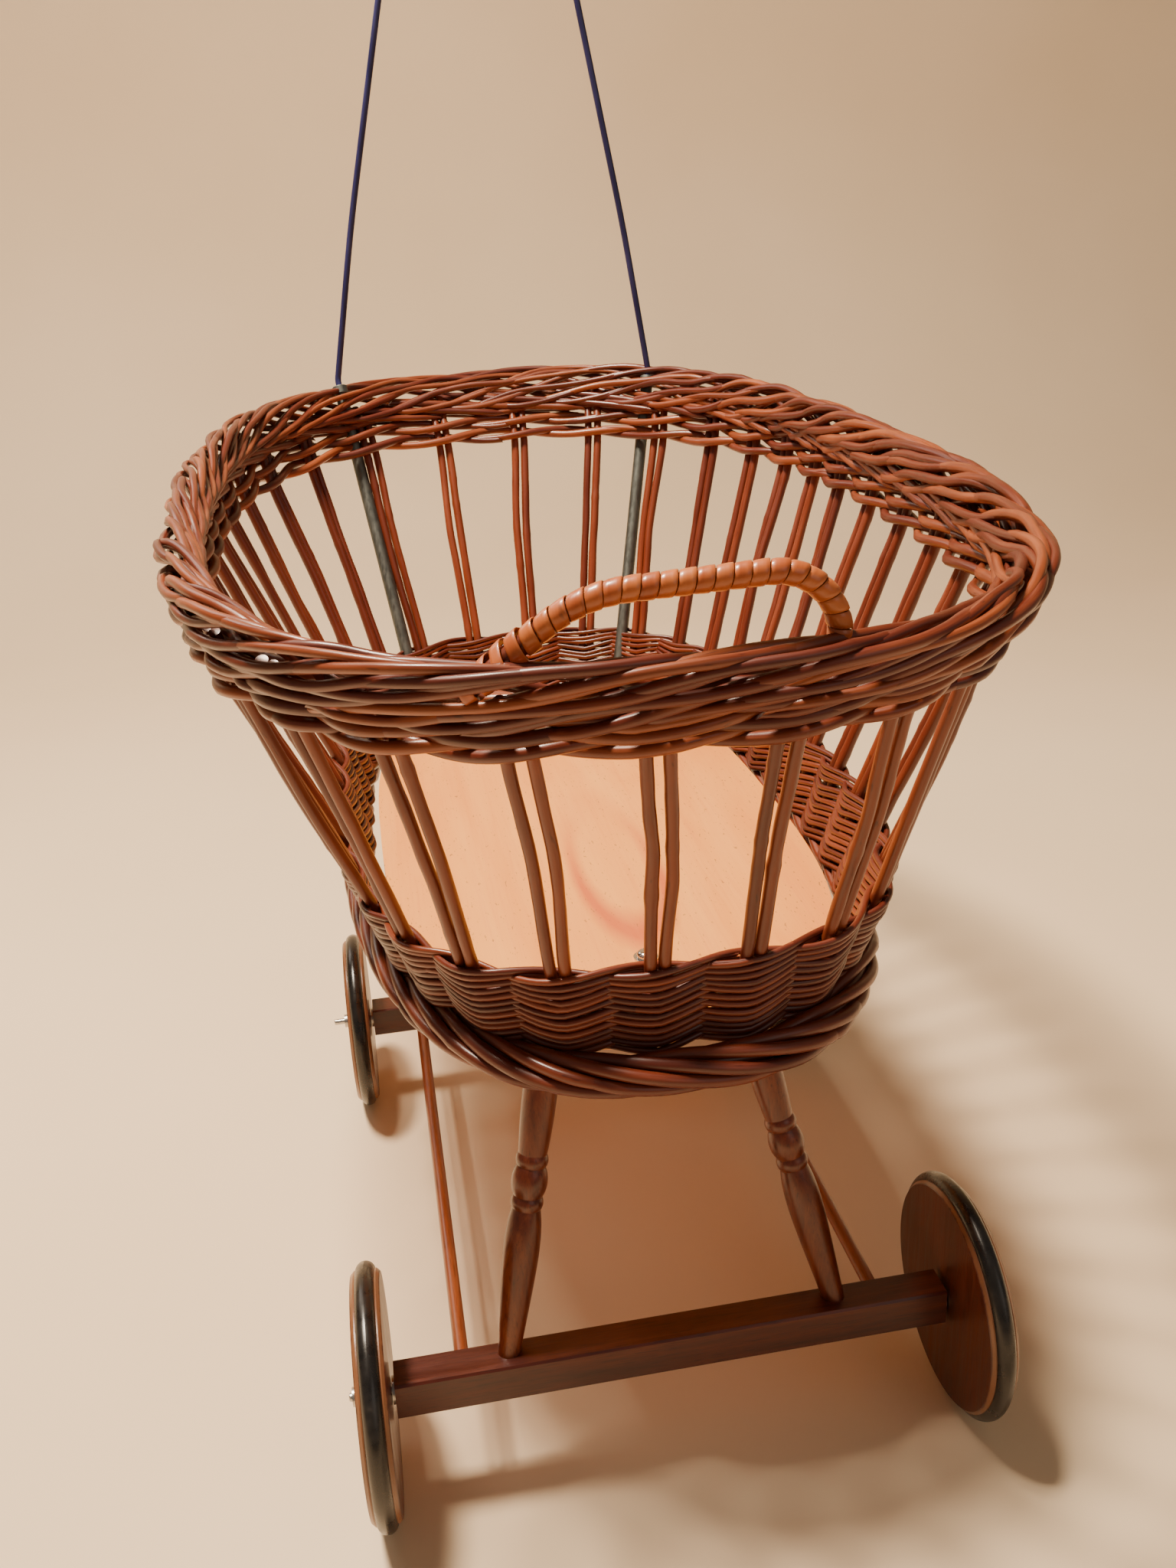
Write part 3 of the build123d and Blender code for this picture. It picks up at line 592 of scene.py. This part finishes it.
# A strip's section: how far across its width, and how thick there.
strip_section = [
    (-0.5, 0.0), (-0.45, 0.36), (-0.2, 0.5), (0.2, 0.52),
    (0.46, 0.42), (0.5, 0.12), (0.3, 0.0), (-0.3, -0.05),
]
run = 0.0
while run < handle_length - 2:
    loose = 1 - float(smooth(np.array([run]), 10, 34)[0])
    pitch = strip_pitch + 1.6 * loose * chance.uniform(0.2, 1.2) + chance.normal(0, 0.12)
    angle = np.linspace(0, 2 * np.pi, steps + 1)
    middle = run + pitch * angle / (2 * np.pi)
    tone = chance.uniform(0.3, 0.95) * (1 - 0.5 * loose)
    offset = np.array([chance.uniform(0, 900), chance.uniform(0, 80), chance.uniform(0, 80)])
    loops = []
    for across, thick in strip_section:
        width = strip_width * (0.97 - 0.2 * loose)
        lift = strip_base + thick + 0.34 * (across + 0.5) + loose * (1.6 + 1.1 * np.sin(angle * 2 + run))
        lift = np.broadcast_to(lift, angle.shape).copy()
        loops.append(on_handle(middle + across * width, angle + 1.1, lift))
    ring = np.stack(loops, 1)
    grain = np.stack([
        np.broadcast_to((run * 4 + 4.4 * angle)[:, None], ring.shape[:2]),
        np.broadcast_to(np.linspace(0, 6, 8)[None], ring.shape[:2]),
        np.zeros(ring.shape[:2]),
    ], -1) + offset
    first = wrap.put(ring.reshape(-1, 3), grain.reshape(-1, 3), tone, 0)
    rows = np.arange(steps)[:, None] * 8 + first
    one, two = np.arange(8)[None], (np.arange(8) + 1)[None] % 8
    wrap.quads.append(np.stack([rows + one, rows + two, rows + 8 + two, rows + 8 + one], -1).reshape(-1, 4))
    for cap, turned in ((first, True), (first + steps * 8, False)):
        fan = np.array([[cap, cap + k, cap + k + 1] for k in range(1, 7)])
        wrap.triangles.append(fan[:, ::-1] if turned else fan)
    run += pitch
wrap.piece("handle_split_cane_wrap", split_cane, "split_cane", "push_handle_wrap")


# ---- Finishes of the CAD parts ----
def paint(finish, slot, *names):
    for name in names:
        mesh = nodes[name].data
        mesh.materials.clear()
        mesh.materials.append(finish)


def board_look():
    """Clear-varnished plywood: long soft figure, a salmon swirl near the handle's end and fine specks."""
    made, tree, shader = look("board_look")
    place = add(tree, "ShaderNodeTexCoord").outputs["Object"]
    warped = noise(tree, scaled(tree, place, (26.0, 4.0, 9.0)), 1.0, 4.0, 0.55, 0.5)
    bend = noise(tree, scaled(tree, place, (16.0, 7.0, 0.0)), 1.0, 3.0, 0.5)
    eye = (0.010, -0.083, 0.241)
    from_eye = add(tree, "ShaderNodeVectorMath", {"operation": "SUBTRACT"}, {0: place, 1: eye}).outputs[0]
    oval = scaled(tree, from_eye, (44.0, 11.4, 0.0))
    reach = add(tree, "ShaderNodeVectorMath", {"operation": "LENGTH"}, {0: oval}).outputs["Value"]
    reach = sum_of(tree, "MULTIPLY_ADD", bend, 0.6, sum_of(tree, "SUBTRACT", reach, 0.30))
    off_ring = sum_of(tree, "ABSOLUTE", sum_of(tree, "SUBTRACT", reach, 1.0), 0.0)
    along = add(tree, "ShaderNodeSeparateXYZ", inputs={0: from_eye}).outputs[1]
    near = spread(tree, along, -0.03, 0.07, 1.0, 0.15)
    figure = sum_of(tree, "MULTIPLY", spread(tree, off_ring, 0.04, 0.28, 0.85, 0.0), near)
    fibre = noise(tree, scaled(tree, place, (420.0, 12.0, 60.0)), 1.0, 5.0, 0.6)
    specks = noise(tree, scaled(tree, place, (900.0, 260.0, 60.0)), 1.0, 1.0, 0.4)
    stops = [(0.3, (0.76, 0.25, 0.038)), (0.5, (0.84, 0.32, 0.056)), (0.72, (0.90, 0.39, 0.080))]
    colour = ramp(tree, warped, stops)
    colour = mix(tree, figure, colour, (0.56, 0.095, 0.024))
    colour = mix(tree, spread(tree, fibre, 0.50, 0.72, 0.0, 0.26), colour, (0.66, 0.180, 0.040))
    colour = mix(tree, spread(tree, specks, 0.70, 0.76, 0.0, 0.6), colour, (0.20, 0.075, 0.03))
    tree.links.new(colour, shader.inputs["Base Color"])
    gloss(tree, shader, spread(tree, fibre, 0.3, 0.7, 0.36, 0.48), 0.25, 0.25)
    bump(tree, shader, fibre, 0.12, 0.0002)
    return made


def wheel_edge(centre_y):
    """Lighter, worn bevels round the disc."""
    def paint_edge(tree, place, colour, fibre):
        parts = add(tree, "ShaderNodeSeparateXYZ", inputs={0: place})
        dy = sum_of(tree, "SUBTRACT", parts.outputs[1], centre_y * MM)
        dz = sum_of(tree, "SUBTRACT", parts.outputs[2], axle_height * MM)
        squares = sum_of(tree, "MULTIPLY", dy, dy), sum_of(tree, "MULTIPLY", dz, dz)
        reach = sum_of(tree, "SQRT", sum_of(tree, "ADD", *squares), 0.0)
        ragged = sum_of(tree, "MULTIPLY_ADD", fibre, 0.0016, reach)
        bevel = spread(tree, ragged, 0.0553, 0.0558, 0.0, 0.6)
        return mix(tree, bevel, colour, (0.30, 0.125, 0.05))
    return paint_edge


corners = ("near_left", "near_right", "far_left", "far_right")
paint(board_look(), "plywood", "floor_board")
plate_look = wood_look(
    "plate_look", (0.36, 0.18, 0.08), (0.50, 0.29, 0.14), (0.60, 0.38, 0.20), (20.0, 240.0, 240.0),
    coat=0.1, rough=(0.45, 0.6))
paint(plate_look, "plywood", "near_leg_plate", "far_leg_plate")
beam_look = wood_look(
    "beam_look", (0.040, 0.0045, 0.002), (0.085, 0.0110, 0.0035), (0.15, 0.026, 0.008),
    (14.0, 210.0, 210.0), coat=0.2, rough=(0.30, 0.46))
paint(beam_look, "beam_wood", "near_axle_beam", "far_axle_beam")
rail_look = wood_look(
    "rail_look", (0.14, 0.024, 0.005), (0.26, 0.052, 0.011), (0.36, 0.095, 0.022), (300.0, 16.0, 300.0),
    coat=0.25, rough=(0.30, 0.45))
paint(rail_look, "rail_wood", "left_side_rail", "right_side_rail")
leg_look = wood_look(
    "leg_look", (0.060, 0.0075, 0.002), (0.140, 0.0240, 0.0060), (0.25, 0.060, 0.015), (230.0, 230.0, 15.0),
    coat=0.22, rough=(0.28, 0.44))
paint(leg_look, "leg_wood", *[f"{corner}_leg" for corner in corners])
for end, centre_y in (("near", near_axle_y), ("far", far_axle_y)):
    disc = wood_look(
        f"{end}_wheel_look", (0.030, 0.0040, 0.0020), (0.070, 0.0100, 0.0035), (0.13, 0.024, 0.008),
        (70.0, 190.0, 15.0), coat=0.2, rough=(0.28, 0.46), edge=wheel_edge(centre_y))
    paint(disc, "wheel_wood", f"{end}_left_wheel_disc", f"{end}_right_wheel_disc")

rubber, tree, shader = look("rubber_look")
place = add(tree, "ShaderNodeTexCoord").outputs["Object"]
dust = noise(tree, place, 90.0, 4.0, 0.6)
blacks = [(0.35, (0.006, 0.005, 0.005)), (0.62, (0.014, 0.012, 0.011)), (0.8, (0.045, 0.036, 0.030))]
tree.links.new(ramp(tree, dust, blacks), shader.inputs["Base Color"])
gloss(tree, shader, spread(tree, dust, 0.35, 0.75, 0.22, 0.42), 0.1, 0.3)
bump(tree, shader, noise(tree, place, 900.0, 2.0), 0.1, 0.0002)
paint(rubber, "tyre", *[f"{corner}_tyre" for corner in corners])

steel = metal_look("steel_look", (0.55, 0.54, 0.52), 0.32, (300.0, 300.0, 300.0))
bright = metal_look("bright_look", (0.78, 0.77, 0.75), 0.14, (200.0, 200.0, 200.0), 0.08)
tube = metal_look("tube_look", (0.17, 0.18, 0.165), 0.5, (500.0, 500.0, 20.0), 0.45)
paint(steel, "steel", "near_axle_rod", "far_axle_rod", "inner_wheel_washers", "outer_wheel_washers",
      "axle_caps", "plate_screws", "board_nut")
paint(bright, "chrome", "board_bolt", "board_washers")
paint(tube, "aluminium", "left_socket_tube", "right_socket_tube", "left_tube_ferrule", "right_tube_ferrule")

hoop, tree, shader = look("hoop_look")
place = add(tree, "ShaderNodeTexCoord").outputs["Object"]
cloud = noise(tree, scaled(tree, place, (120.0, 120.0, 18.0)), 1.0, 4.0)
blues = [(0.35, (0.012, 0.010, 0.060)), (0.6, (0.022, 0.020, 0.100)), (0.8, (0.045, 0.042, 0.15))]
tree.links.new(ramp(tree, cloud, blues), shader.inputs["Base Color"])
gloss(tree, shader, spread(tree, cloud, 0.3, 0.7, 0.3, 0.45), 0.2, 0.2)
bump(tree, shader, noise(tree, place, 700.0, 2.0), 0.08, 0.0002)
paint(hoop, "hoop_paint", "canopy_hoop")

# ---- Stage: a pale floor that sweeps up into a backdrop ----
stage_look, tree, shader = look("stage_look")
place = add(tree, "ShaderNodeTexCoord").outputs["Object"]
cloud = noise(tree, place, 1.4, 3.0)
sands = [(0.3, (0.76, 0.575, 0.375)), (0.7, (0.82, 0.635, 0.430))]
tree.links.new(ramp(tree, cloud, sands), shader.inputs["Base Color"])
gloss(tree, shader, 0.75)
# Metres along Y and Z: the floor runs back, bends up by a quarter circle and stands as the backdrop.
floor_front, floor_back, sweep, stage_top, stage_half = -6.0, 1.3, 0.9, 5.0, 7.0
profile = [(floor_front, 0.0), (floor_back, 0.0)]
profile += [
    (floor_back + sweep * math.sin(a), sweep - sweep * math.cos(a)) for a in np.radians(np.arange(6, 91, 6))
]
profile += [(floor_back + sweep, stage_top)]
mesh = bpy.data.meshes.new("stage_floor")
mesh.from_pydata([(x, y, z) for y, z in profile for x in (-stage_half, stage_half)], [],
                 [(2 * k, 2 * k + 1, 2 * k + 3, 2 * k + 2) for k in range(len(profile) - 1)])
mesh.polygons.foreach_set("use_smooth", [True] * len(mesh.polygons))
mesh.materials.append(stage_look)
stage = bpy.data.objects.new("stage_floor", mesh)
bpy.context.scene.collection.objects.link(stage)


def soft_light(name, spot, target, size, power, colour):
    data = bpy.data.lights.new(name, "AREA")
    data.shape, data.size, data.energy, data.color = "DISK", size, power, colour
    made = bpy.data.objects.new(name, data)
    made.location = spot
    made.rotation_mode = "QUATERNION"
    made.rotation_quaternion = (Vector(target) - Vector(spot)).to_track_quat("-Z", "Y")
    bpy.context.scene.collection.objects.link(made)


soft_light("key_light", (-0.55, 0.15, 2.2), (0.0, -0.1, 0.25), 0.45, 125, (1.0, 0.84, 0.66))
soft_light("fill_light", (1.2, -2.0, 1.4), (0.0, 0.0, 0.3), 1.6, 4, (1.0, 0.90, 0.80))
soft_light("back_light", (-1.2, 1.6, 1.6), (0.0, 0.1, 0.4), 1.0, 8, (1.0, 0.90, 0.80))
world = bpy.data.worlds.new("studio")
world.use_nodes = True
world.node_tree.nodes["Background"].inputs[0].default_value = (1.0, 0.86, 0.72, 1)
world.node_tree.nodes["Background"].inputs[1].default_value = 0.19
bpy.context.scene.world = world

# ---- Camera: beyond the handle's end, looking down into the basket ----
yaw, pitch, roll = -0.158, 0.378, -0.051
eye, lens, sensor = (-0.1096, -0.7610, 0.5606), 31.04, 36.0
right = Vector((math.cos(yaw), math.sin(yaw), 0))
forward = Vector((-math.sin(yaw) * math.cos(pitch), math.cos(yaw) * math.cos(pitch), -math.sin(pitch)))
upward = right.cross(forward)
turned_right = math.cos(roll) * right + math.sin(roll) * upward
turned_up = -math.sin(roll) * right + math.cos(roll) * upward
camera_data = bpy.data.cameras.new("camera")
camera_data.sensor_width = sensor
camera_data.lens = lens
camera_data.clip_start, camera_data.clip_end = 0.02, 50.0
camera = bpy.data.objects.new("camera", camera_data)
camera.matrix_world = Matrix((
    (turned_right.x, turned_up.x, -forward.x, eye[0]),
    (turned_right.y, turned_up.y, -forward.y, eye[1]),
    (turned_right.z, turned_up.z, -forward.z, eye[2]),
    (0, 0, 0, 1),
))
bpy.context.scene.collection.objects.link(camera)
bpy.context.scene.camera = camera
